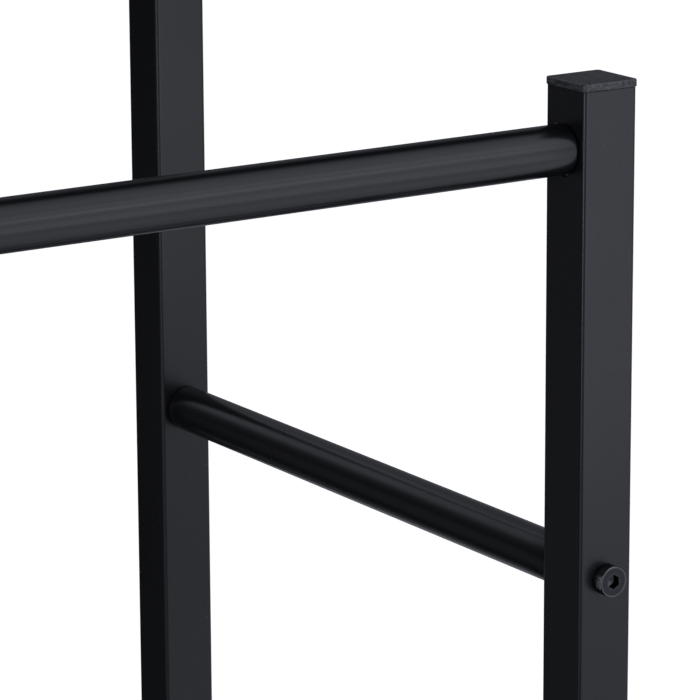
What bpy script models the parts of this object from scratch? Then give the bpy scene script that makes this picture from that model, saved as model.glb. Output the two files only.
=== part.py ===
"""Free-standing towel rack: two welded frames of posts and rails, joined by side rails with screws.

Metres, +Z up, +X to the right seen from the front, and the low pair of posts at -Y.
The origin is on the floor, at the centre of the footprint.
"""
import math

import bmesh
import bpy
from mathutils import Matrix, Vector

# Overall
WIDTH = 0.500            # over the posts
FRONT_HEIGHT = 0.640     # floor to the top of the front caps
REAR_HEIGHT = 0.800      # floor to the top of the rear caps
POST_SPACING_Y = 0.256   # centre of a front post to centre of the rear post behind it
GAP = 0.0003             # left between pieces that bear on each other

# Posts: square tube
POST = 0.020
POST_WALL = 0.001
POST_CORNER_RADIUS = 0.0012
POST_CORNER_SEGMENTS = 3

# Rails: round tube
RAIL_RADIUS = 0.008
RAIL_WALL = 0.001
RAIL_SEGMENTS = 32
TOWEL_RAIL_DROP = 0.019    # top end of a post's tube down to the towel rail's axis
UPPER_SIDE_DROP = 0.1565   # top end of a front post's tube down to the upper side rail's axis
LOWER_RAIL_Z = 0.130       # axis of the lower front and rear rails
LOWER_SIDE_Z = 0.090       # axis of the lower side rails

# Plastic plugs in the posts' ends
CAP_THICKNESS = 0.0025
FOOT_THICKNESS = 0.004
LID_OVERHANG = 0.0003
LID_CORNER_RADIUS = 0.0015
LID_CORNER_SEGMENTS = 3
LID_RIM_RADIUS = 0.0007
LID_RIM_SEGMENTS = 2
SKIRT_LENGTH = 0.011
SKIRT_HALF_WIDTH = 0.0078
SKIRT_WALL = 0.0012
FIN_HALF_WIDTH = 0.0087
FIN_THICKNESS = 0.0009
FIN_PITCH = 0.004
FIN_COUNT = 2

# Welds of the long rails: a bead behind each end, out of sight from the front
WELD_LEG = 0.0007
WELD_BULGE = 0.62        # how far the bead's middle stands out, in legs; a flat one has 0.5
WELD_STOP = 0.0006       # how far behind the rail's axis the bead starts and ends
WELD_TIP = math.radians(16)    # the bead's middle is this far below level
WELD_SEGMENTS = 32

# M6 socket screws with a low head
HEAD_RADIUS = 0.005
HEAD_HEIGHT = 0.004
HEAD_CHAMFER = 0.0003
SHANK_RADIUS = 0.0029
SHANK_LENGTH = 0.035
SHANK_TIP_CHAMFER = 0.0006
SOCKET_ACROSS_FLATS = 0.004
SOCKET_DEPTH = 0.0026
SCREW_SEGMENTS = 16
SCREW_HOLE_RADIUS = 0.0033
SCREW_HOLE_SEGMENTS = 12

# Tapped steel plugs in the side rails' ends
PLUG_RADIUS = 0.0067
PLUG_BORE_RADIUS = 0.0032
PLUG_LENGTH = 0.016
PLUG_SEGMENTS = 16

# Finishes: colour, roughness, metallic
BLACK_POWDER_COAT = ((0.012, 0.012, 0.014), 0.42, 0.0)
BLACK_NYLON = ((0.020, 0.020, 0.022), 0.60, 0.0)
BLACK_STEEL = ((0.060, 0.060, 0.062), 0.30, 1.0)
ZINC_PLATE = ((0.550, 0.560, 0.580), 0.35, 1.0)

# Worked out from the sizes above
MERGE_DISTANCE = 0.00001
SMOOTH_ANGLE = math.radians(35)
POST_X = (WIDTH - POST) / 2
POST_Y = POST_SPACING_Y / 2
POST_BASE_Z = FOOT_THICKNESS + GAP
LONG_RAIL_LENGTH = 2 * POST_X - POST - 2 * GAP
SIDE_RAIL_LENGTH = 2 * POST_Y - POST - 2 * GAP
COLUMN_X = {"left": -POST_X, "right": POST_X}
ROW_Y = {"front": -POST_Y, "rear": POST_Y}
TUBE_TOP_Z = {
    "front": FRONT_HEIGHT - CAP_THICKNESS,
    "rear": REAR_HEIGHT - CAP_THICKNESS,
}


def clear_scene():
    for obj in list(bpy.data.objects):
        bpy.data.objects.remove(obj)


def new_collection(name, helpers=False):
    collection = bpy.data.collections.new(name)
    collection.hide_render = helpers
    bpy.context.scene.collection.children.link(collection)
    return collection


def new_material(name, finish):
    colour, roughness, metallic = finish
    material = bpy.data.materials.new(name)
    material.use_nodes = True
    shader = material.node_tree.nodes["Principled BSDF"]
    shader.inputs["Base Color"].default_value = (*colour, 1.0)
    shader.inputs["Roughness"].default_value = roughness
    shader.inputs["Metallic"].default_value = metallic
    return material


def place(obj, matrix):
    obj.location = matrix.to_translation()
    obj.rotation_euler = matrix.to_euler()


def new_piece(name, mesh, material, matrix):
    """One finished piece of the rack. Copies of a piece share its mesh."""
    obj = bpy.data.objects.new(name, mesh)
    rack.objects.link(obj)
    if not mesh.materials:
        mesh.materials.append(material)
    obj.parent = rack_origin
    place(obj, matrix)
    return obj


def new_helper(name, mesh, collection, matrix=Matrix()):
    """A cutter, or a blank that is baked into a mesh and removed."""
    obj = bpy.data.objects.new(name, mesh)
    collection.objects.link(obj)
    obj.hide_render = True
    obj.display_type = "WIRE"
    place(obj, matrix)
    return obj


def bake(obj):
    """The object's mesh with its modifiers applied. The object is removed."""
    bpy.context.view_layer.update()
    graph = bpy.context.evaluated_depsgraph_get()
    mesh = bpy.data.meshes.new_from_object(obj.evaluated_get(graph))
    mesh.name = obj.name
    bpy.data.objects.remove(obj)
    return mesh


def add_boolean(obj, operation, other):
    modifier = obj.modifiers.new(f"{operation.lower()}_{other.name}", "BOOLEAN")
    modifier.operation = operation
    modifier.solver = "EXACT"
    if isinstance(other, bpy.types.Collection):
        modifier.operand_type = "COLLECTION"
        modifier.collection = other
    else:
        modifier.object = other


def mesh_from(bm, name):
    mesh = bpy.data.meshes.new(name)
    bm.to_mesh(mesh)
    bm.free()
    return mesh


def box_mesh(name, size):
    bm = bmesh.new()
    bmesh.ops.create_cube(bm, size=1.0)
    bmesh.ops.scale(bm, vec=size, verts=bm.verts)
    return mesh_from(bm, name)


def cylinder_mesh(name, radius, length, segments):
    bm = bmesh.new()
    bmesh.ops.create_cone(
        bm, cap_ends=True, segments=segments, radius1=radius, radius2=radius, depth=length
    )
    return mesh_from(bm, name)


def square_bar(name, side, length, corner_radius, corner_segments, rim_radius=0.0):
    """A square bar along Z, centred, with its upright edges rounded, and its top rim if asked."""
    bm = bmesh.new()
    bmesh.ops.create_cube(bm, size=1.0)
    bmesh.ops.scale(bm, vec=(side, side, length), verts=bm.verts)
    upright = [edge for edge in bm.edges if edge.verts[0].co.z * edge.verts[1].co.z < 0]
    bmesh.ops.bevel(
        bm, geom=upright, offset=corner_radius, segments=corner_segments, profile=0.5, affect="EDGES"
    )
    if rim_radius:
        top = length / 2 - MERGE_DISTANCE
        rim = [edge for edge in bm.edges if all(vert.co.z > top for vert in edge.verts)]
        bmesh.ops.bevel(
            bm, geom=rim, offset=rim_radius, segments=LID_RIM_SEGMENTS, profile=0.5, affect="EDGES"
        )
    return mesh_from(bm, name)


def turned_mesh(name, profile, segments, closed=False):
    """(radius, height) points turned about Z. The profile runs down its outer side."""
    edges = [(i, i + 1) for i in range(len(profile) - 1)]
    if closed:
        edges.append((len(profile) - 1, 0))
    mesh = bpy.data.meshes.new(name + "_profile")
    mesh.from_pydata([(radius, 0.0, height) for radius, height in profile], edges, [])
    blank = new_helper(name, mesh, cutters)
    screw = blank.modifiers.new("turn", "SCREW")
    screw.steps = segments
    screw.render_steps = segments
    screw.use_merge_vertices = True
    screw.merge_threshold = MERGE_DISTANCE
    return bake(blank)


def shade_round(mesh):
    mesh.shade_smooth()
    mesh.set_sharp_from_angle(angle=SMOOTH_ANGLE)
    return mesh


def tube_mesh(name, outer, inner, length, segments):
    """A round tube along Z, centred."""
    half = length / 2
    profile = [(outer, half), (outer, -half), (inner, -half), (inner, half)]
    return shade_round(turned_mesh(name, profile, segments, closed=True))


def screw_mesh():
    """A screw along Z. It bears on the post at z = 0, with its head above and its shank below."""
    profile = [
        (0.0, HEAD_HEIGHT),
        (HEAD_RADIUS - HEAD_CHAMFER, HEAD_HEIGHT),
        (HEAD_RADIUS, HEAD_HEIGHT - HEAD_CHAMFER),
        (HEAD_RADIUS, 0.0),
        (SHANK_RADIUS, 0.0),
        (SHANK_RADIUS, SHANK_TIP_CHAMFER - SHANK_LENGTH),
        (SHANK_RADIUS - SHANK_TIP_CHAMFER, -SHANK_LENGTH),
        (0.0, -SHANK_LENGTH),
    ]
    blank = new_helper("screw_blank", turned_mesh("screw", profile, SCREW_SEGMENTS), cutters)
    across_corners = SOCKET_ACROSS_FLATS / math.cos(math.radians(30))
    socket = cylinder_mesh("hex_socket", across_corners / 2, 2 * SOCKET_DEPTH, 6)
    head_face = Matrix.Translation((0.0, 0.0, HEAD_HEIGHT))
    add_boolean(blank, "DIFFERENCE", new_helper("hex_socket", socket, cutters, head_face))
    return shade_round(bake(blank))


def weld_mesh():
    """Half a ring about Z, on the +X side, in the corner between a rail below and a post at z = 0."""
    inner = RAIL_RADIUS + GAP
    bulge = WELD_BULGE * WELD_LEG
    profile = [(inner + WELD_LEG, 0.0), (inner + bulge, -bulge), (inner, -WELD_LEG), (inner, 0.0)]
    ring = turned_mesh("weld_ring", profile, WELD_SEGMENTS, closed=True)
    blank = new_helper("weld_blank", ring, cutters)
    side = 4 * RAIL_RADIUS
    trim = box_mesh("weld_trim", (side, side, side))
    beside = Matrix.Translation((WELD_STOP - side / 2, 0.0, 0.0))
    add_boolean(blank, "DIFFERENCE", new_helper("weld_trim", trim, cutters, beside))
    return shade_round(bake(blank))


def skirt_profile(top):
    """Half section of a plug's hollow skirt, with fins that grip the tube. It is open below."""
    bottom = -SKIRT_LENGTH
    inner = SKIRT_HALF_WIDTH - SKIRT_WALL
    outline = [(SKIRT_HALF_WIDTH, top)]
    for i in range(FIN_COUNT):
        fin_top = -FIN_PITCH * (i + 0.5)
        fin_bottom = fin_top - FIN_THICKNESS
        outline += [(SKIRT_HALF_WIDTH, fin_top), (FIN_HALF_WIDTH, fin_top)]
        outline += [(FIN_HALF_WIDTH, fin_bottom), (SKIRT_HALF_WIDTH, fin_bottom)]
    outline += [(SKIRT_HALF_WIDTH, bottom), (inner, bottom), (inner, top)]
    return outline


def end_plug_mesh(name, thickness):
    """A lid over the tube's end, with its underside at z = 0, and a skirt inside the tube."""
    side = POST + 2 * LID_OVERHANG
    lid = square_bar(
        name + "_lid", side, thickness, LID_CORNER_RADIUS, LID_CORNER_SEGMENTS, LID_RIM_RADIUS
    )
    lid.transform(Matrix.Translation((0.0, 0.0, thickness / 2)))
    # Turning a half section in four steps makes a square, whose corners lie at the turned radius.
    corners = [(math.sqrt(2) * half, z) for half, z in skirt_profile(thickness / 2)]
    skirt = turned_mesh(name + "_skirt", corners, 4, closed=True)
    skirt.transform(Matrix.Rotation(math.radians(45), 4, "Z"))
    blank = new_helper(name, lid, cutters)
    add_boolean(blank, "UNION", new_helper(name + "_skirt", skirt, cutters))
    return bake(blank)


def aimed(point, direction):
    """A place at the point, with local Z along the direction."""
    turn = Vector(direction).to_track_quat("Z", "Y").to_matrix().to_4x4()
    return Matrix.Translation(point) @ turn


def add_rail(name, mesh, length, centre, along, end_names):
    """Adds a rail. Gives each end's name, its place, and the direction it faces."""
    centre = Vector(centre)
    along = Vector(along)
    new_piece(name, mesh, rail_finish, aimed(centre, along))
    ends = []
    for sign, end in zip((-1, 1), end_names):
        outward = sign * along
        ends.append((end, centre + outward * (length / 2), outward))
    return ends


def add_weld(name, rail_end, outward):
    """A bead on the back of the joint between a long rail's end and its post."""
    middle = Vector((0.0, math.cos(WELD_TIP), -math.sin(WELD_TIP)))
    turn = Matrix((middle, outward.cross(middle), outward)).transposed().to_4x4()
    new_piece(name, weld, rail_finish, Matrix.Translation(rail_end) @ turn)


def add_screw(rail, end, rail_end, outward):
    """A tapped plug in a side rail's end, and a screw through the post into it."""
    in_rail = rail_end - outward * (PLUG_LENGTH / 2)
    new_piece(f"tapped_plug_{rail}_{end}", tapped_plug, plug_finish, aimed(in_rail, outward))
    in_post = rail_end + outward * (GAP + POST / 2)
    new_helper(f"screw_hole_{rail}_{end}", screw_hole, screw_holes, aimed(in_post, outward))
    on_post = rail_end + outward * (2 * GAP + POST)
    new_piece(f"screw_{rail}_{end}", socket_screw, screw_finish, aimed(on_post, outward))


def add_post(row, column):
    """A post with its screw holes, its cap and its foot."""
    x = COLUMN_X[column]
    y = ROW_Y[row]
    tube_top = TUBE_TOP_Z[row] - GAP
    length = tube_top - POST_BASE_Z
    name = f"{row}_post_{column}"
    middle = Matrix.Translation((x, y, (tube_top + POST_BASE_Z) / 2))
    bar = square_bar(name, POST, length, POST_CORNER_RADIUS, POST_CORNER_SEGMENTS)
    post = new_piece(name, bar, post_finish, middle)
    inside = POST - 2 * POST_WALL
    bore = box_mesh(name + "_bore", (inside, inside, length + POST))
    add_boolean(post, "DIFFERENCE", new_helper(name + "_bore", bore, cutters, middle))
    add_boolean(post, "DIFFERENCE", screw_holes)
    cap_seat = Matrix.Translation((x, y, TUBE_TOP_Z[row]))
    new_piece(f"top_cap_{row}_{column}", top_cap, cap_finish, cap_seat)
    foot_seat = aimed((x, y, FOOT_THICKNESS), (0.0, 0.0, -1.0))
    new_piece(f"foot_{row}_{column}", foot, foot_finish, foot_seat)


clear_scene()
rack = new_collection("towel_rack")
cutters = new_collection("cutters", helpers=True)
screw_holes = new_collection("screw_holes", helpers=True)
rack_origin = bpy.data.objects.new("rack_origin", None)
rack.objects.link(rack_origin)

post_finish = new_material("post_powder_coat", BLACK_POWDER_COAT)
rail_finish = new_material("rail_powder_coat", BLACK_POWDER_COAT)
cap_finish = new_material("cap_nylon", BLACK_NYLON)
foot_finish = new_material("foot_nylon", BLACK_NYLON)
screw_finish = new_material("screw_black_steel", BLACK_STEEL)
plug_finish = new_material("plug_zinc_plate", ZINC_PLATE)

rail_inner_radius = RAIL_RADIUS - RAIL_WALL
long_rail = tube_mesh("long_rail", RAIL_RADIUS, rail_inner_radius, LONG_RAIL_LENGTH, RAIL_SEGMENTS)
side_rail = tube_mesh("side_rail", RAIL_RADIUS, rail_inner_radius, SIDE_RAIL_LENGTH, RAIL_SEGMENTS)
tapped_plug = tube_mesh("tapped_plug", PLUG_RADIUS, PLUG_BORE_RADIUS, PLUG_LENGTH, PLUG_SEGMENTS)
screw_hole = cylinder_mesh("screw_hole", SCREW_HOLE_RADIUS, POST + 2 * GAP, SCREW_HOLE_SEGMENTS)
socket_screw = screw_mesh()
weld = weld_mesh()
top_cap = end_plug_mesh("top_cap", CAP_THICKNESS)
foot = end_plug_mesh("foot", FOOT_THICKNESS)

for row, y in ROW_Y.items():
    heights = {"towel_rail": TUBE_TOP_Z[row] - TOWEL_RAIL_DROP, "lower_rail": LOWER_RAIL_Z}
    for kind, z in heights.items():
        name = f"{row}_{kind}"
        ends = add_rail(name, long_rail, LONG_RAIL_LENGTH, (0, y, z), (1, 0, 0), ("left", "right"))
        for end, rail_end, outward in ends:
            add_weld(f"weld_{name}_{end}", rail_end, outward)

for column, x in COLUMN_X.items():
    heights = {"upper": TUBE_TOP_Z["front"] - UPPER_SIDE_DROP, "lower": LOWER_SIDE_Z}
    for kind, z in heights.items():
        name = f"{kind}_side_rail_{column}"
        ends = add_rail(name, side_rail, SIDE_RAIL_LENGTH, (x, 0, z), (0, 1, 0), ("front", "rear"))
        for end, rail_end, outward in ends:
            add_screw(name, end, rail_end, outward)

for row in ROW_Y:
    for column in COLUMN_X:
        add_post(row, column)
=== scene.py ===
import math

import bpy
import numpy as np
from mathutils import Matrix, Vector


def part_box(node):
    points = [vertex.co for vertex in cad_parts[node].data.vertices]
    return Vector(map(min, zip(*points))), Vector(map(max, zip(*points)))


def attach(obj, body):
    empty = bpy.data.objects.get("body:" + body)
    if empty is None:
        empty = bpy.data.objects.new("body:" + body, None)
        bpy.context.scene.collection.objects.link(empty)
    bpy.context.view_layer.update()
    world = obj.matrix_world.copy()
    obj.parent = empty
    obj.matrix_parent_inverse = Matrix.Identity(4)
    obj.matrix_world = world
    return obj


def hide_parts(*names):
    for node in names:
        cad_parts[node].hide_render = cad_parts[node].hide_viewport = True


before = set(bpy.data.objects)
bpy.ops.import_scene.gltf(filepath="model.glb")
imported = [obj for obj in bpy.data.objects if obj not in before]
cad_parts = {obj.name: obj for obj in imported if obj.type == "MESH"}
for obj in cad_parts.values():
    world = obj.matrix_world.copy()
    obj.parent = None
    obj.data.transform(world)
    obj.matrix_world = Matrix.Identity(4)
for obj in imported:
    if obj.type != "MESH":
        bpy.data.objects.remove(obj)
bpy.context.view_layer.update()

scene = bpy.context.scene
rowNames = ("front", "rear")
columnNames = ("left", "right")
print("frame loaded:", len(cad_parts), "nodes")


def meshFromGrid(name, grid, ends):
    # A grid of points, rows by columns, joined into quads. The columns always close into rings.
    # ends is "loop" when the last row joins the first, or "points" when a middle point closes each end.
    rows, columns = grid.shape[:2]
    index = np.arange(rows * columns).reshape(rows, columns)
    points = grid.reshape(-1, 3)
    upper = index if ends == "loop" else index[:-1]
    lower = np.roll(index, -1, axis=0) if ends == "loop" else index[1:]
    quads = np.stack([upper, lower, np.roll(lower, -1, axis=1), np.roll(upper, -1, axis=1)], axis=-1)
    faces = quads.reshape(-1, 4).tolist()
    if ends == "points":
        middles = np.stack([grid[0].mean(axis=0), grid[-1].mean(axis=0)])
        first, last = index[0], index[-1]
        points = np.concatenate([points, middles])
        top = np.stack([np.full(columns, len(points) - 2), first, np.roll(first, -1)], axis=-1)
        bottom = np.stack([np.full(columns, len(points) - 1), np.roll(last, -1), last], axis=-1)
        faces += top.tolist() + bottom.tolist()
    mesh = bpy.data.meshes.new(name)
    mesh.from_pydata(points.tolist(), [], faces)
    mesh.validate()
    return mesh


def addPiece(name, mesh, smoothAngle):
    # A new object that is smooth, apart from edges sharper than smoothAngle degrees.
    piece = bpy.data.objects.new(name, mesh)
    scene.collection.objects.link(piece)
    mesh.shade_smooth()
    mesh.set_sharp_from_angle(angle=math.radians(smoothAngle))
    return piece


def seatGrid(grid, origin, axis):
    # Turns the grid's own Z onto the axis and moves it to the origin.
    turn = np.array(Vector(axis).to_track_quat("Z", "Y").to_matrix())
    return grid @ turn.T + np.array(origin)


def turnedGrid(radius, height, around):
    # Point (i, j) = radius[i, j] at angle j, at height[i]: a profile turned about Z.
    angle = np.linspace(0, 2 * np.pi, around, endpoint=False)
    radius = np.broadcast_to(np.reshape(radius, (len(height), -1)), (len(height), around))
    z = np.broadcast_to(np.reshape(height, (-1, 1)), radius.shape)
    return np.stack([radius * np.cos(angle), radius * np.sin(angle), z], axis=-1)


def squareGrid(half, corner, height, arcSteps, support):
    # Point = corner centre + corner radius * direction + support slid back along the flat:
    # a rounded square of half width half[i] and corner radius corner[i] at height[i].
    half, corner, height = (np.asarray(v, float).reshape(-1, 1, 1) for v in (half, corner, height))
    arc = np.linspace(0, np.pi / 2, arcSteps)
    arc = np.concatenate([[0], arc, [np.pi / 2]])
    slide = np.zeros(len(arc))
    slide[0], slide[-1] = 1, 1
    quarter = np.repeat(np.arange(4), len(arc)) * np.pi / 2
    arc, slide = np.tile(arc, 4), np.tile(slide, 4)
    direction = np.stack([np.cos(quarter + arc), np.sin(quarter + arc)], axis=-1)
    centre = math.sqrt(2) * np.stack([np.cos(quarter + np.pi / 4), np.sin(quarter + np.pi / 4)], axis=-1)
    side = np.where(arc > np.pi / 4, 1, -1)          # the flat after the corner, or the one before it
    along = side[:, None] * np.stack([-direction[:, 1], direction[:, 0]], axis=-1)
    reach = np.minimum(support, 0.3 * (half - corner))
    plan = centre * (half - corner) + direction * corner + along * slide[:, None] * reach
    z = np.broadcast_to(height, plan.shape[:2] + (1,))
    return np.concatenate([plan, z], axis=-1)


def roundedRim(half, top, radius, steps):
    # Half widths and heights down a quarter circle, from the flat top out to the side.
    turn = np.linspace(0, np.pi / 2, steps)
    return half - radius * (1 - np.sin(turn)), top - radius * (1 - np.cos(turn))


def finishPiece(piece, node, material):
    # Gives the piece its finish and puts it in its CAD node's place.
    piece.data.materials.clear()
    piece.data.materials.append(material)
    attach(piece, "root")
    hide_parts(node)
    return piece


def appliedMesh(piece):
    # The mesh that the piece's modifiers give. The piece itself goes.
    graph = bpy.context.evaluated_depsgraph_get()
    mesh = bpy.data.meshes.new_from_object(piece.evaluated_get(graph))
    bpy.data.objects.remove(piece)
    return mesh


class Wire:
    # A node's output. Plain arithmetic on it adds Math nodes.
    def __init__(self, finish, socket):
        self.finish = finish
        self.socket = socket

    def maths(self, operation, first, second):
        return self.finish.node("ShaderNodeMath", {"operation": operation}, {0: first, 1: second})

    def __add__(self, other):
        return self.maths("ADD", self, other)

    def __radd__(self, other):
        return self.maths("ADD", other, self)

    def __sub__(self, other):
        return self.maths("SUBTRACT", self, other)

    def __rsub__(self, other):
        return self.maths("SUBTRACT", other, self)

    def __mul__(self, other):
        return self.maths("MULTIPLY", self, other)

    def __rmul__(self, other):
        return self.maths("MULTIPLY", other, self)


class Finish:
    # The nodes of a material or a world. node() adds any node: settings, then its sockets' values or wires.
    def __init__(self, owner, coordinates="Object"):
        self.tree = owner.node_tree
        self.place = self.node("ShaderNodeTexCoord", {}, {}, coordinates)

    def plug(self, target, sockets):
        for key, value in sockets.items():
            if isinstance(value, Wire):
                self.tree.links.new(value.socket, target.inputs[key])
            else:
                target.inputs[key].default_value = value

    def node(self, kind, settings, sockets, output=0):
        made = self.tree.nodes.new(kind)
        for setting, value in settings.items():
            setattr(made, setting, value)
        self.plug(made, sockets)
        return Wire(self, made.outputs[output])

    def noise(self, size, detail=2.0, stretch=(1.0, 1.0, 1.0)):
        # Cloudy 0 to 1 pattern whose lumps are about size metres across.
        spot = self.node("ShaderNodeMapping", {}, {"Vector": self.place, "Scale": stretch})
        return self.node("ShaderNodeTexNoise", {}, {"Vector": spot, "Scale": 1 / size, "Detail": detail})

    def specks(self, spacing, size, share):
        # Round dots of a given size, in a given share of the cells of a scattered grid.
        cells = {"Vector": self.place, "Scale": 1 / spacing}
        distance = self.node("ShaderNodeTexVoronoi", {}, cells, "Distance")
        cell = self.node("ShaderNodeTexVoronoi", {}, cells, "Color")
        lot = self.node("ShaderNodeSeparateColor", {}, {"Color": cell})
        dot = self.ramp(distance, size / spacing, 0.5 * size / spacing, 0.0, 1.0)
        return dot * self.ramp(lot, share, share - 0.01, 0.0, 1.0)

    def ramp(self, value, fromLow, fromHigh, toLow, toHigh, kind="LINEAR"):
        # A run from one range to another, held at its ends.
        sockets = {0: value, 1: fromLow, 2: fromHigh, 3: toLow, 4: toHigh}
        return self.node("ShaderNodeMapRange", {"interpolation_type": kind}, sockets)

    def tint(self, factor, first, second):
        sockets = {0: factor, 6: first, 7: second}
        return self.node("ShaderNodeMix", {"data_type": "RGBA"}, sockets, 2)

    def attribute(self, name):
        return self.node("ShaderNodeAttribute", {"attribute_name": name}, {}, "Fac")

    def surface(self, colour, roughness, height, depth):
        # The varying sockets. height runs 0 to 1 over depth metres.
        bump = self.node("ShaderNodeBump", {}, {"Strength": 1.0, "Distance": depth, "Height": height})
        shader = self.tree.nodes["Principled BSDF"]
        self.plug(shader, {"Base Color": colour, "Roughness": roughness, "Normal": bump})


def newMaterial(name, constants):
    # constants are the shader's values that are the same all over.
    material = bpy.data.materials.new(name)
    material.use_nodes = True
    finish = Finish(material)
    finish.plug(material.node_tree.nodes["Principled BSDF"], constants)
    return material, finish


def grey(level, blue=0.0):
    # A neutral linear colour, pushed a little towards blue.
    return (level * (1 - blue), level, level * (1 + 2 * blue), 1.0)


powderLook = {
    "paint": grey(0.0085, 0.06),
    "paintWorn": grey(0.013, 0.05),        # where the coat pulls thin over an edge
    "dust": grey(0.16, 0.03),
    "grain": 0.00035,                      # size of the coat's fine grain
    "peel": 0.0022,                        # size of the orange peel under it
    "cloud": 0.045,                        # size of the areas that are more or less glossy
    "dustSpacing": 0.0055,
    "dustSize": 0.00028,
    "dustShare": 0.30,
    "depth": 0.000010,
    "roughness": 0.29,
}


def powderCoat(name, roughnessShift):
    # Fine grain over orange peel, with specks of dust under the coat.
    look = powderLook
    material, coat = newMaterial(name, {"Metallic": 0.0, "IOR": 1.5})
    grain = coat.noise(look["grain"], 2.0)
    peel = coat.noise(look["peel"], 1.0)
    cloud = coat.noise(look["cloud"], 3.0)
    edge = coat.attribute("edge")
    dust = coat.specks(look["dustSpacing"], look["dustSize"], look["dustShare"])
    tone = coat.tint(edge * coat.ramp(grain, 0.35, 0.75, 0.0, 1.0), look["paint"], look["paintWorn"])
    tone = coat.tint(dust * 0.8, tone, look["dust"])
    base = look["roughness"] + roughnessShift
    roughness = base + 0.10 * (grain - 0.5) + 0.10 * (cloud - 0.5) + 0.25 * dust - 0.05 * edge
    height = 0.45 * grain + 0.55 * peel + 0.5 * dust
    coat.surface(tone, roughness, height, look["depth"])
    return material


nylonLook = {
    "body": grey(0.018, 0.05),
    # paler tone of the blotches; on the rim it is partly wear, partly a painted highlight
    "paleTintAndPaintedHighlight": grey(0.110, 0.04),
    "shine": 0.44,                         # most that the patchy, glossier skin reaches
    "spark": 0.00045,                      # size of the fine grain
    "mottle": 0.0013,                      # size of the blotches
    "depth": 0.00030,
    "roughness": 0.56,
}


def mouldedNylon(name):
    # Grain and blotches set tone, gloss and relief together. The rim is lighter and smoother: partly wear,
    # partly a painted highlight along it.
    look = nylonLook
    material, nylon = newMaterial(name, {"Metallic": 0.0, "IOR": 1.5, "Coat Roughness": 0.32})
    spark = nylon.noise(look["spark"], 2.0)
    mottle = nylon.noise(look["mottle"], 3.0)
    edge = nylon.attribute("edge")
    texture = 0.6 * spark + 0.4 * mottle
    # the rim's share lightens it: partly wear, partly a painted highlight
    blotchRimWearAndHighlight = nylon.ramp(texture, 0.42, 0.62, 0.0, 0.9) + 0.6 * edge
    tone = nylon.tint(blotchRimWearAndHighlight, look["body"], look["paleTintAndPaintedHighlight"])
    roughness = look["roughness"] + 0.5 * (mottle - 0.5) + 0.5 * (spark - 0.5) - 0.25 * edge
    height = 0.5 + (texture - 0.5) * (1 - 0.8 * edge)
    nylon.surface(tone, roughness, height, look["depth"])
    skin = nylon.ramp(0.5 * spark + 0.5 * mottle, 0.40, 0.60, 0.0, look["shine"])
    nylon.plug(material.node_tree.nodes["Principled BSDF"], {"Coat Weight": skin})
    return material


steelLook = {
    "oxide": grey(0.042, 0.03),
    "bright": grey(0.30, 0.0),             # edges where the oxide is thin, and a painted lit spot on the socket's floor
    "paintedGlintTone": grey(0.90, 0.0),               # a painted glint on one side of each head
    "grain": 0.0002,
    "oil": 0.0018,                         # size of the patches of oil
    "roughness": 0.30,
    "depth": 0.000006,
}


def blackSteel(name):
    # Dark oxide, brighter where edges are marked, and one painted glint: a pale patch that is rougher and
    # less metallic.
    look = steelLook
    material, steel = newMaterial(name, {"Metallic": 1.0})
    grain = steel.noise(look["grain"], 3.0)
    oil = steel.noise(look["oil"], 2.0)
    edge = steel.attribute("edge")
    tone = steel.tint(edge * steel.ramp(grain, 0.2, 0.6, 0.3, 1.0), look["oxide"], look["bright"])
    # painted glint: a pale patch, rougher and less metallic, standing in for a highlight on one side of the
    # head
    paleTintAndPaintedHighlight = steel.attribute("paleTintAndPaintedHighlight") * steel.ramp(grain, 0.40, 0.58, 0.1, 1.0)
    tone = steel.tint(paleTintAndPaintedHighlight, tone, look["paintedGlintTone"])
    roughness = look["roughness"] + 0.16 * (oil - 0.5) + 0.12 * (grain - 0.5) + 0.45 * paleTintAndPaintedHighlight
    steel.surface(tone, roughness, grain, look["depth"])
    steel.plug(material.node_tree.nodes["Principled BSDF"], {"Metallic": 1 - 0.8 * paleTintAndPaintedHighlight})
    return material


zincLook = {
    "plate": grey(0.52, 0.02),
    "dull": grey(0.30, 0.01),
    "spangle": 0.0012,
    "grain": 0.00025,
    "roughness": 0.34,
    "depth": 0.000006,
}


def zincPlate(name):
    # Bright plate with duller spangles.
    look = zincLook
    material, zinc = newMaterial(name, {"Metallic": 1.0})
    spangle = zinc.noise(look["spangle"], 3.0)
    grain = zinc.noise(look["grain"], 2.0)
    edge = zinc.attribute("edge")
    tone = zinc.tint(zinc.ramp(spangle, 0.35, 0.7, 0.0, 1.0), look["plate"], look["dull"])
    roughness = look["roughness"] + 0.2 * (spangle - 0.5) - 0.1 * edge
    zinc.surface(tone, roughness, grain, look["depth"])
    return material


def markWearAndPaintedLight(mesh, strength, layerName="edge"):
    # One number from 0 to 1 for each point. The finish reads it as wear, and in places as painted light:
    # the glint on one side of each screw's head, the lit spot on each socket's floor, and partly the
    # highlight along the caps' rims.
    layer = mesh.attributes.new(layerName, "FLOAT", "POINT")
    layer.data.foreach_set("value", np.asarray(strength, np.float32))


def meshPoints(mesh):
    points = np.empty(len(mesh.vertices) * 3)
    mesh.vertices.foreach_get("co", points)
    return points.reshape(-1, 3)


postPaint = powderCoat("postPaint", 0.0)
railPaint = powderCoat("railPaint", -0.05)
capNylon = mouldedNylon("capNylon")
footNylon = mouldedNylon("footNylon")
screwSteel = blackSteel("screwSteel")
plugZinc = zincPlate("plugZinc")
print("finishes made")


def nodeFrame(node):
    # The middle of a node's box, its sizes, and the number of its longest side.
    low, high = (np.array(corner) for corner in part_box(node))
    size = high - low
    return (low + high) / 2, size, int(size.argmax())


def outwardAxis(node):
    # A screw's direction from its tip to its head: the way from the rack's middle along its long side.
    middle, size, longest = nodeFrame(node)
    axis = np.zeros(3)
    axis[longest] = math.copysign(1, middle[longest])
    return axis


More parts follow.
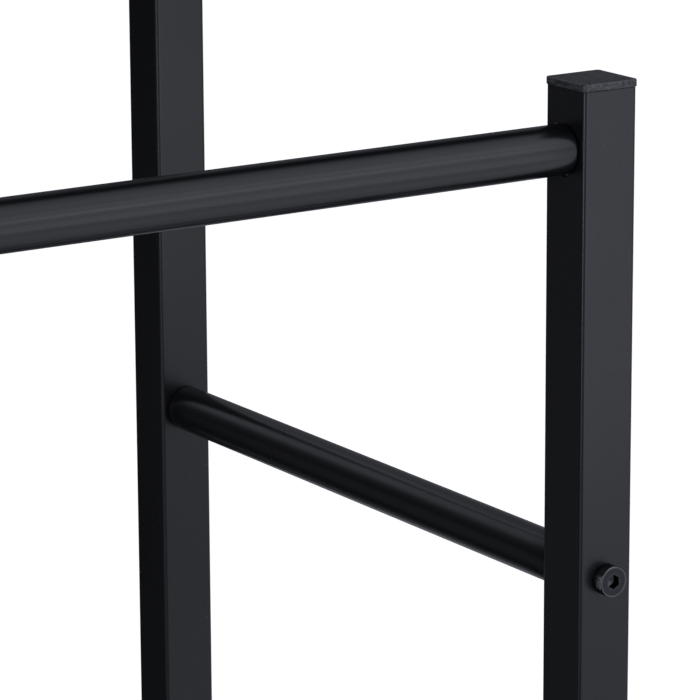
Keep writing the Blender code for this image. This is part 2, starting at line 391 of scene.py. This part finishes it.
postLook = {
    "cornerRadius": 0.0012,
    "wall": 0.0012,
    "innerCorner": 0.0005,
    "rings": 24,
    "arcSteps": 10,
    "support": 0.0004,        # narrow strip beside each rounded edge that keeps the flats flat
    "endEase": 0.00012,
    "holeRadius": 0.0033,
    "holeSides": 40,
    "growUp": 0.0002,         # takes up most of the gap under the cap
}


def holeCutter(node, screws):
    # Cylinders on the axes of the screws that cross this post.
    look = postLook
    middle, size, longest = nodeFrame(node)
    pieces = []
    for screw in screws:
        at, _, along = nodeFrame(screw)
        axis = np.zeros(3)
        axis[along] = 1
        at[along] = middle[along]
        reach = size[0]
        radius = np.full((2, 1), look["holeRadius"])
        grid = turnedGrid(radius, np.array([reach, -reach]), look["holeSides"])
        pieces.append(meshFromGrid(screw + "Hole", seatGrid(grid, at, axis), "points"))
    cutter = addPiece(node + "Holes", pieces[0], 30)
    others = [addPiece(mesh.name, mesh, 30) for mesh in pieces[1:]]
    with bpy.context.temp_override(active_object=cutter, selected_editable_objects=[cutter, *others]):
        bpy.ops.object.join()
    return cutter


def makePost(node, screws):
    # A rounded square carried down the outside and up the inside, then drilled for its screws.
    look = postLook
    rings = look["rings"]
    middle, size, _ = nodeFrame(node)
    half, tall = size[0] / 2, size[2] / 2
    ease, inside = look["endEase"], half - look["wall"]
    top, bottom = tall + look["growUp"], -tall
    outerZ = np.linspace(top - ease, bottom + ease, rings)
    halfs = np.concatenate([[half - ease], np.full(rings, half), [half - ease], [inside, inside]])
    corners = np.concatenate([[look["cornerRadius"]] * (rings + 2), [look["innerCorner"]] * 2])
    heights = np.concatenate([[top], outerZ, [bottom], [bottom, top]])
    grid = squareGrid(halfs, corners, heights, look["arcSteps"], look["support"]) + middle
    blank = addPiece(node + "Tube", meshFromGrid(node + "Tube", grid, "loop"), 30)
    cutter = holeCutter(node, screws)
    cut = blank.modifiers.new("screwHoles", "BOOLEAN")
    cut.operation = "DIFFERENCE"
    cut.solver = "EXACT"
    cut.object = cutter
    mesh = appliedMesh(blank)
    bpy.data.objects.remove(cutter)
    offset = np.abs(meshPoints(mesh)[:, :2] - middle[:2])      # both are large only at a corner
    markWearAndPaintedLight(mesh, np.clip((offset.min(axis=1) - (half - 1.3 * look["cornerRadius"])) / ease, 0, 1))
    finishPiece(addPiece(node + "Painted", mesh, 30), node, postPaint)


railLook = {
    "wall": 0.0012,
    "around": 128,
    "stations": 20,
    "endRound": 0.0014,
    "endSteps": 6,
    "growOut": 0.0002,        # takes up most of the gap to the post
}


def makeRail(node):
    # A profile turned about the rail's axis: rounded end, outside, rounded end and bore.
    look = railLook
    middle, size, longest = nodeFrame(node)
    radius, half = size.min() / 2, size[longest] / 2 + look["growOut"]
    rimR, rimZ = roundedRim(radius, half, look["endRound"], look["endSteps"])
    straight = np.linspace(half - look["endRound"], look["endRound"] - half, look["stations"])[1:-1]
    bore = radius - look["wall"]
    radii = np.concatenate([rimR, np.full(len(straight), radius), rimR[::-1], [bore, bore]])
    heights = np.concatenate([rimZ, straight, -rimZ[::-1], [-half, half]])
    axis = np.zeros(3)
    axis[longest] = 1
    grid = seatGrid(turnedGrid(radii, heights, look["around"]), middle, axis)
    mesh = meshFromGrid(node + "Tube", grid, "loop")
    toEnd = half - np.abs(meshPoints(mesh)[:, longest] - middle[longest])
    markWearAndPaintedLight(mesh, np.clip(1 - toEnd / look["endRound"], 0, 1))
    finishPiece(addPiece(node + "Painted", mesh, 35), node, railPaint)


weldLook = {
    "leg": 0.0009,
    "fullness": 1.25,         # 1 is a round bead, 2 a flat one
    "reach": 86,              # degrees either side of its middle
    "tip": 16,                # degrees that its middle is below level, at the back
    "ripple": 0.0008,
    "rippleRise": 0.14,
    "lag": 0.35,              # how far each ripple curves back at its edges
    "taper": 0.0016,          # length over which the leg grows from each end
    "leastTaper": 0.02,
    "root": 0.00015,          # how far the bead runs into the rail and the post
    "stations": 200,
    "around": 9,
}


def makeWeld(rail, end, post):
    # Section = quarter superellipse in the corner between rail and post, one leg along each.
    # The leg swells with each ripple along the arc, and shrinks to nothing at both ends.
    look = weldLook
    node = f"weld_{rail}_{end}"
    middle, size, _ = nodeFrame(rail)
    radius = size[2] / 2
    outward = 1 if end == "right" else -1
    low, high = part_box(post)
    wallX = low.x if outward > 0 else high.x
    reach = math.radians(look["reach"])
    along = np.linspace(-1, 1, look["stations"])
    turn = (outward * along * reach - math.radians(look["tip"]))[:, None]
    section = np.linspace(0, np.pi / 2, look["around"])
    distance = radius * reach * along[:, None]
    phase = distance / look["ripple"] + look["lag"] * np.sin(2 * section)
    swell = 1 + look["rippleRise"] * (np.mod(phase, 1) ** 2 - 0.5)
    toEnd = radius * reach - np.abs(distance)
    leg = look["leg"] * swell * np.sqrt(np.clip(toEnd / look["taper"], look["leastTaper"], 1))
    out = radius + leg * np.sin(section) ** look["fullness"]
    inward = leg * np.cos(section) ** look["fullness"]
    root = look["root"] * np.ones_like(turn)
    out = np.concatenate([radius - root, out, out[:, -1:], radius - root], axis=1)
    inward = np.concatenate([inward[:, :1], inward, -root, -root], axis=1)
    grid = np.stack([wallX - outward * inward, middle[1] + out * np.cos(turn),
                     middle[2] + out * np.sin(turn)], axis=-1)
    mesh = meshFromGrid(node + "Bead", grid, "points")
    crest = np.clip(2 * (swell - 1) / look["rippleRise"], 0, 1) * np.sin(2 * section)
    edge = np.zeros(grid.shape[:2])
    edge[:, 1:-2] = 0.6 * crest
    markWearAndPaintedLight(mesh, np.concatenate([edge.ravel(), [0, 0]]))
    finishPiece(addPiece(node + "Painted", mesh, 40), node, railPaint)


plugLook = {
    "lidCorner": 0.0013,
    "rimRound": 0.0004,
    "rimSteps": 6,
    "crown": 0.00012,         # how far the lid's middle stands above its rim
    "crownRings": 8,
    "underEase": 0.0001,      # chamfer under the lid
    "floorTop": 0.0008,       # how far the hollow in the plug runs up into the lid
    "skirtHalf": 0.0078,
    "skirtWall": 0.0012,
    "skirtCorner": 0.0008,
    "finHalf": 0.0087,
    "finPitch": 0.0026,
    "finCount": 4,
    "finShape": (0.0, 0.06, 0.15, 0.375),    # where a fin starts, is full and ends, as shares of its pitch
    "arcSteps": 8,
    "support": 0.0006,
}


def makeEndPlug(node, material, upward, thickness):
    # Half widths down the plug: lid's middle, rounded rim, side, fins, and back up inside the skirt.
    look = plugLook
    middle, size, _ = nodeFrame(node)
    half, reach = size[0] / 2, size[2] - thickness
    rimHalf, rimZ = roundedRim(half, thickness, look["rimRound"], look["rimSteps"])
    topHalf = np.linspace(0.1, 0.94, look["crownRings"]) * (half - look["rimRound"])
    crown = look["crown"] * (1 - (topHalf / half) ** 2)
    finTop = -look["finPitch"] * (np.arange(look["finCount"]) + 0.4)
    finShape = np.array(look["finShape"]) * look["finPitch"]
    finOut = np.array([look["skirtHalf"], look["finHalf"], look["finHalf"], look["skirtHalf"]])
    finZ = (finTop[:, None] - finShape).ravel()
    inner = look["skirtHalf"] - look["skirtWall"]
    under, floor = look["underEase"], look["floorTop"]
    halfs = np.concatenate([topHalf, rimHalf, [half, half - under, look["skirtHalf"]],
                            np.tile(finOut, look["finCount"]),
                            [look["skirtHalf"], inner, inner, 0.3 * inner]])
    heights = np.concatenate([thickness - look["crown"] + crown, rimZ - look["crown"],
                              [under, 0, 0], finZ, [-reach, -reach, floor, floor]])
    skirtRings = 1 + len(finZ) + 4
    corners = np.concatenate([0.8 * topHalf * look["lidCorner"] / half,
                              look["lidCorner"] - (half - rimHalf),
                              [look["lidCorner"]] * 2,
                              np.full(skirtRings, look["skirtCorner"])])
    corners = np.minimum(corners, 0.9 * halfs)
    grid = squareGrid(halfs, corners, heights, look["arcSteps"], look["support"])
    seat = middle.copy()
    seat[2] = middle[2] + upward * (size[2] / 2 - thickness)
    grid = seatGrid(grid, seat, (0, 0, upward))
    mesh = meshFromGrid(node + "Moulding", grid, "points")
    aroundRim = (np.arange(len(halfs)) - len(topHalf)) / (look["rimSteps"] - 1)    # 0 to 1 over the round
    # The rim is marked lighter and smoother: partly wear, partly a painted highlight along it.
    rim = np.clip(1 - 2 * np.abs(aroundRim - 0.5), 0, 1)
    markWearAndPaintedLight(mesh, np.concatenate([np.repeat(rim, grid.shape[1]), [0, 0]]))
    finishPiece(addPiece(node + "Moulded", mesh, 40), node, material)


screwLook = {
    "around": 192,
    "headHeight": 0.0040,
    "shankRadius": 0.0029,
    "undercut": 0.0002,       # fillet where the shank meets the head
    "socketFlats": 0.0041,
    "socketDepth": 0.0028,
    "drillPoint": 0.0011,
    "socketTurn": 30,         # degrees that puts a corner of the hexagon at the top
    "socketLead": 0.00008,    # chamfer at the mouth of the socket
    "rimChamfer": 0.00022,
    "knurlTeeth": 48,
    "knurlDepth": 0.00016,
    "knurlFoot": 0.0006,      # height at which the knurl ends
    "paintedGlintSide": (-0.995, 0.0, 0.05),    # the side of each head where a glint is painted
    "neck": 0.0026,
    "threadLength": 0.020,
    "threadPitch": 0.0010,
    "threadDepth": 0.00045,
    "pointLength": 0.0012,
}


def makeScrew(node):
    # Radius down the screw: socket floor, hexagonal wall, face, rim, knurled side, shank, thread, point.
    # The hexagon's radius is its flat's distance over the cosine of the angle from the flat's middle.
    # The knurl is a cosine around the side, and the thread a groove that drops one pitch each turn.
    look = screwLook
    middle, size, longest = nodeFrame(node)
    axis = outwardAxis(node)
    headRadius, length = size.min() / 2, size[longest]
    headHeight, shankRadius = look["headHeight"], look["shankRadius"]
    shank = length - headHeight
    hexCorner = look["socketFlats"] / 2 / math.cos(math.radians(30))
    lead, chamfer, undercut = look["socketLead"], look["rimChamfer"], look["undercut"]
    floorZ = headHeight - look["socketDepth"]
    face = np.linspace(1.25 * hexCorner, headRadius - chamfer, 5)
    threadTop = look["threadLength"] - shank
    turns = int((look["threadLength"] - look["pointLength"]) / look["threadPitch"])
    threadZ = threadTop - np.linspace(0, turns * look["threadPitch"], turns * 5 + 1)

    # each row: radius, height, how hexagonal, how knurled, how threaded
    rows = [(0.05 * hexCorner, floorZ - look["drillPoint"], 0, 0, 0), (0.97 * hexCorner, floorZ, 1, 0, 0),
            (hexCorner, floorZ + 0.0001, 1, 0, 0), (hexCorner, headHeight - lead, 1, 0, 0),
            (hexCorner + lead, headHeight, 1, 0, 0)]
    rows += [(r, headHeight, 0, 0, 0) for r in face]
    rows += [(headRadius - 0.3 * chamfer, headHeight - 0.35 * chamfer, 0, 0, 0),
             (headRadius, headHeight - chamfer, 0, 0, 0),
             (headRadius, headHeight - 1.5 * chamfer, 0, 1, 0), (headRadius, 0.0020, 0, 1, 0),
             (headRadius, look["knurlFoot"], 0, 1, 0), (headRadius, 0.00035, 0, 0, 0),
             (headRadius, 0.0001, 0, 0, 0), (headRadius - 0.0001, 0, 0, 0, 0),
             (shankRadius + undercut, 0, 0, 0, 0), (shankRadius, -undercut, 0, 0, 0),
             (shankRadius, threadTop + 0.0006, 0, 0, 0)]
    rows += [(shankRadius, z, 0, 0, 1) for z in threadZ]
    rows += [(look["neck"] - 0.0003, look["pointLength"] * 0.4 - shank, 0, 0, 0),
             (look["neck"] - 0.0008, -shank, 0, 0, 0)]
    radius, height, hexed, knurled, threaded = (column[:, None] for column in np.array(rows).T)

    angle = np.linspace(0, 2 * np.pi, look["around"], endpoint=False)[None, :]
    sector = np.mod(angle + math.radians(look["socketTurn"]), math.pi / 3)
    hexagon = math.cos(math.pi / 6) / np.cos(sector - math.pi / 6)
    tooth = 0.5 - 0.5 * np.cos(look["knurlTeeth"] * angle)
    phase = np.mod(height / look["threadPitch"] - angle / (2 * np.pi), 1)
    groove = np.clip(np.abs(phase - 0.5) * 2.6 - 0.15, 0, 1)
    radius = radius * (1 - hexed + hexed * hexagon)
    radius = radius - knurled * look["knurlDepth"] * tooth - threaded * look["threadDepth"] * groove
    grid = turnedGrid(radius, height.ravel(), look["around"])
    bearing = middle + axis * (length / 2 - headHeight)
    grid = seatGrid(grid, bearing, axis)
    mesh = meshFromGrid(node + "Turned", grid, "points")
    # A painted glint stands in for a highlight. It is a pale patch on the front of the knurl, on the side
    # of every head that faces one fixed direction.
    spoke = (grid - bearing) * (1 - np.abs(axis))
    facing = spoke @ look["paintedGlintSide"] / np.maximum(np.linalg.norm(spoke, axis=-1), 1e-9)
    onSide = (knurled > 0) * np.clip((height - 0.0012) / 0.0016, 0, 1)
    paleTintAndPaintedHighlight = onSide * (1 - 0.6 * tooth) * np.clip((facing - 0.86) / 0.06, 0, 1)
    markWearAndPaintedLight(mesh, np.concatenate([paleTintAndPaintedHighlight.ravel(), [0, 0]]), "paleTintAndPaintedHighlight")
    toRim = np.abs(radius - (headRadius - 0.5 * chamfer))
    onRim = (toRim < 0.7 * chamfer) & (height > floorZ)
    onMouth = (hexed > 0.5) & (height > headHeight - 1.5 * lead)
    onCrest = knurled * (1 - tooth) * np.clip((height - 0.0008) / 0.002, 0, 1)
    # The drill point's rows are marked lighter: a painted lit spot on the socket's floor.
    onDrill = (np.arange(len(height)) < 2)[:, None]
    edge = np.maximum(0.5 * onRim + 0.1 * onMouth + 0.3 * onDrill, onCrest).ravel()
    markWearAndPaintedLight(mesh, np.concatenate([edge, [0, 0]]))
    finishPiece(addPiece(node + "Steel", mesh, 25), node, screwSteel)


tappedLook = {
    "around": 64,
    "chamfer": 0.0004,
    "grooveEvery": 0.0020,    # spacing of the press-fit rings
    "grooveRows": 61,
    "boreRows": 76,
    "grooveDepth": 0.00015,
    "boreRadius": 0.0032,
    "threadPitch": 0.0010,
    "threadDepth": 0.0004,
}


def makeTappedPlug(node):
    # Radius down the outside, with press-fit rings, and up the bore, where it follows the thread's helix.
    look = tappedLook
    middle, size, longest = nodeFrame(node)
    outer, half = size.min() / 2, size[longest] / 2
    chamfer = look["chamfer"]
    ringZ = np.linspace(half - 2 * chamfer, 2 * chamfer - half, look["grooveRows"])
    ring = outer - look["grooveDepth"] * (np.cos(2 * np.pi * ringZ / look["grooveEvery"]) > 0.3)
    boreZ = np.linspace(chamfer - half, half - chamfer, look["boreRows"])
    outside = np.concatenate([[outer - chamfer, outer], ring, [outer, outer - chamfer]])
    outsideZ = np.concatenate([[half, half - chamfer], ringZ, [chamfer - half, -half]])
    mouth = look["boreRadius"] + look["threadDepth"]
    angle = np.linspace(0, 2 * np.pi, look["around"], endpoint=False)[None, :]
    phase = np.mod(boreZ[:, None] / look["threadPitch"] - angle / (2 * np.pi), 1)
    bore = look["boreRadius"] + look["threadDepth"] * np.clip(np.abs(phase - 0.5) * 2.6 - 0.15, 0, 1)
    smooth = np.ones_like(angle)
    radius = np.concatenate([outside[:, None] * smooth, mouth * smooth, bore, mouth * smooth])
    height = np.concatenate([outsideZ, [-half], boreZ, [half]])
    axis = np.zeros(3)
    axis[longest] = 1
    grid = seatGrid(turnedGrid(radius, height, look["around"]), middle, axis)
    mesh = meshFromGrid(node + "Turned", grid, "loop")
    markWearAndPaintedLight(mesh, np.repeat(np.abs(height) > half - 1.5 * chamfer, look["around"]))
    finishPiece(addPiece(node + "Plated", mesh, 30), node, plugZinc)


longRails = [f"{row}_{kind}" for row in rowNames for kind in ("towel_rail", "lower_rail")]
sideRails = [f"{kind}_side_rail_{column}" for column in columnNames for kind in ("upper", "lower")]

for rail in longRails:
    makeRail(rail)
    for column in columnNames:
        row = rail.split("_")[0]
        makeWeld(rail, column, f"{row}_post_{column}")
for rail in sideRails:
    makeRail(rail)
    for row in rowNames:
        makeScrew(f"screw_{rail}_{row}")
        makeTappedPlug(f"tapped_plug_{rail}_{row}")
print("rails, welds, screws and tapped plugs made")

for row in rowNames:
    for column in columnNames:
        crossing = [f"screw_{rail}_{row}" for rail in sideRails if rail.endswith(column)]
        makePost(f"{row}_post_{column}", crossing)
        makeEndPlug(f"top_cap_{row}_{column}", capNylon, 1, 0.0025)
        makeEndPlug(f"foot_{row}_{column}", footNylon, -1, 0.0040)
print("posts, caps and feet made")


floorLook = {
    "size": 14.0,             # metres from its middle to each side
    "squares": 14,
    "tone": 0.80,
    "glow": 0.88,
    "mottle": 0.012,
    "cloud": 0.4,             # size of the faint clouds in its tone
    "fibre": 0.002,
    "depth": 0.0001,
}


def makeFloor():
    # A flat sheet of squares under the feet, lit from within so that it stays white.
    look = floorLook
    side = np.linspace(-look["size"], look["size"], look["squares"] + 1)
    x, y = np.meshgrid(side, side)
    points = np.stack([x, y, np.zeros_like(x)], axis=-1).reshape(-1, 3)
    index = np.arange(len(points)).reshape(x.shape)
    quads = np.stack([index[:-1, :-1], index[:-1, 1:], index[1:, 1:], index[1:, :-1]], axis=-1)
    mesh = bpy.data.meshes.new("floor")
    mesh.from_pydata(points.tolist(), [], quads.reshape(-1, 4).tolist())
    floor = bpy.data.objects.new("floor", mesh)
    scene.collection.objects.link(floor)
    material, paper = newMaterial("floorPaper", {
        "Specular IOR Level": 0.1, "Emission Color": grey(1.0), "Emission Strength": look["glow"]})
    cloud = paper.noise(look["cloud"], 2.0)
    tone = paper.tint(cloud, grey(look["tone"]), grey(look["tone"] * (1 - look["mottle"])))
    paper.surface(tone, 0.85 + 0.1 * cloud, paper.noise(look["fibre"]), look["depth"])
    mesh.materials.append(material)
    floor.visible_glossy = False       # a matt paper floor that the black paint doesn't mirror
    floor.visible_diffuse = False
    floor.visible_shadow = False


lightTint = (0.94, 0.97, 1.10)

lights = {
    # name: place, aim, width, height, power in watts
    "rightSoftbox": ((0.50, -0.79, 0.62), (0.24, -0.13, 0.55), 0.60, 0.65, 0.98),
    "rightOverhead": ((0.60, -0.80, 1.05), (0.24, -0.13, 0.62), 0.60, 0.40, 0.57),
    "leftStrip": ((-0.75, -0.55, 0.60), (0.24, -0.13, 0.55), 0.30, 0.60, 1.28),
    "behindLeft": ((-0.50, 0.75, 0.30), (0.20, -0.10, 0.50), 0.50, 0.50, 0.04),
    "nearLeft": ((-0.20, 0.48, 0.30), (0.22, -0.10, 0.50), 0.30, 0.50, 0.022),
    "leftBounce": ((-0.35, 0.35, 0.05), (0.22, -0.10, 0.45), 0.40, 0.40, 0.020),
}

glows = {
    # name: direction, angle where it starts, angle where it is full, radiance
    "rightUnder": ((0.53, -0.15, -0.83), 34, 6, 0.26),
    "rightLower": ((0.53, -0.49, -0.69), 34, 6, 0.36),
    "rightLow": ((0.53, -0.73, -0.42), 34, 6, 0.44),
    "rightLevel": ((0.53, -0.84, 0.06), 22, 4, 0.15),
    "rightHigh": ((0.53, -0.60, 0.60), 34, 6, 0.31),
    "rightOver": ((0.53, -0.29, 0.80), 34, 6, 0.72),
    "farLeft": ((-0.95, -0.20, 0.10), 38, 6, 0.68),
    "leftFront": ((-0.82, -0.57, 0.05), 34, 14, 0.10),
    "byTheCamera": ((-0.53, -0.81, 0.24), 34, 8, 0.45),
    "backHigh": ((-0.08, 0.81, 0.58), 24, 4, 0.35),
    "backLeft": ((-0.50, 0.78, 0.38), 24, 6, 0.06),
    "backOver": ((-0.08, 0.70, 0.70), 40, 10, 0.11),
    "backRight": ((0.47, 0.81, 0.34), 26, 6, 0.15),
    "floorBehind": ((0.30, 0.81, -0.50), 30, 6, 0.32),
    "front": ((-0.15, -0.93, -0.33), 34, 8, 0.26),
    "right": ((0.97, 0.05, -0.22), 32, 8, 0.60),
    "farRight": ((0.84, 0.50, -0.18), 30, 8, 0.60),
    "behind": ((0.05, 0.97, -0.24), 24, 6, 0.14),
}


def makeLights():
    for name, (place, aim, width, height, power) in lights.items():
        lamp = bpy.data.lights.new(name, "AREA")
        lamp.shape = "RECTANGLE"
        lamp.size, lamp.size_y, lamp.energy = width, height, power
        lamp.color = lightTint
        box = bpy.data.objects.new(name, lamp)
        box.location = place
        box.rotation_euler = (Vector(place) - Vector(aim)).to_track_quat("Z", "Y").to_euler()
        box.visible_camera = False
        scene.collection.objects.link(box)


def makeSky():
    # White to the eye. As a light it is black, apart from one soft round glow for each far softbox.
    sky = bpy.data.worlds.new("studio")
    sky.use_nodes = True
    studio = Finish(sky, "Generated")
    total = 0.0
    for direction, start, full, radiance in glows.values():
        aim = Vector(direction).normalized()
        facing = studio.node("ShaderNodeVectorMath", {"operation": "DOT_PRODUCT"},
                             {0: studio.place, 1: tuple(aim)}, "Value")
        total = total + studio.ramp(facing, math.cos(math.radians(start)), math.cos(math.radians(full)),
                                    0.0, radiance, "SMOOTHSTEP")
    seen = studio.node("ShaderNodeLightPath", {}, {}, "Is Camera Ray")
    background = studio.tree.nodes["Background"]
    studio.plug(background, {"Color": studio.tint(seen, (*lightTint, 1.0), (1.0, 1.0, 1.0, 1.0)),
                             "Strength": seen + (1 - seen) * total})
    scene.world = sky


cameraLook = {
    "fromPostTop": (-0.73084, -0.97572, 0.21964),   # metres from the front right post's top end
    "yaw": 0.5815,            # radians, from straight back towards the right
    "pitch": 0.2442,          # downwards
    "roll": -0.0047,
    "lens": 205.97,           # millimetres, on a sensor 36 wide
}


def makeCamera():
    look = cameraLook
    low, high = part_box("front_post_right")
    postTop = Vector(((low.x + high.x) / 2, (low.y + high.y) / 2, high.z))
    camera = bpy.data.objects.new("camera", bpy.data.cameras.new("camera"))
    camera.data.lens = look["lens"]
    camera.data.sensor_width = 36.0
    camera.data.clip_start = 0.01
    camera.data.clip_end = 100.0
    camera.location = postTop + Vector(look["fromPostTop"])
    yaw, pitch, roll = look["yaw"], look["pitch"], look["roll"]
    ahead = Vector((math.sin(yaw) * math.cos(pitch), math.cos(yaw) * math.cos(pitch), -math.sin(pitch)))
    level = Vector((math.cos(yaw), -math.sin(yaw), 0.0))
    upright = level.cross(ahead)
    right = level * math.cos(roll) + upright * math.sin(roll)
    up = upright * math.cos(roll) - level * math.sin(roll)
    camera.rotation_euler = Matrix((right, up, -ahead)).transposed().to_euler()
    scene.collection.objects.link(camera)
    scene.camera = camera


makeFloor()
makeLights()
makeSky()
makeCamera()
scene.view_settings.view_transform = "Standard"
print("floor, light and camera made")
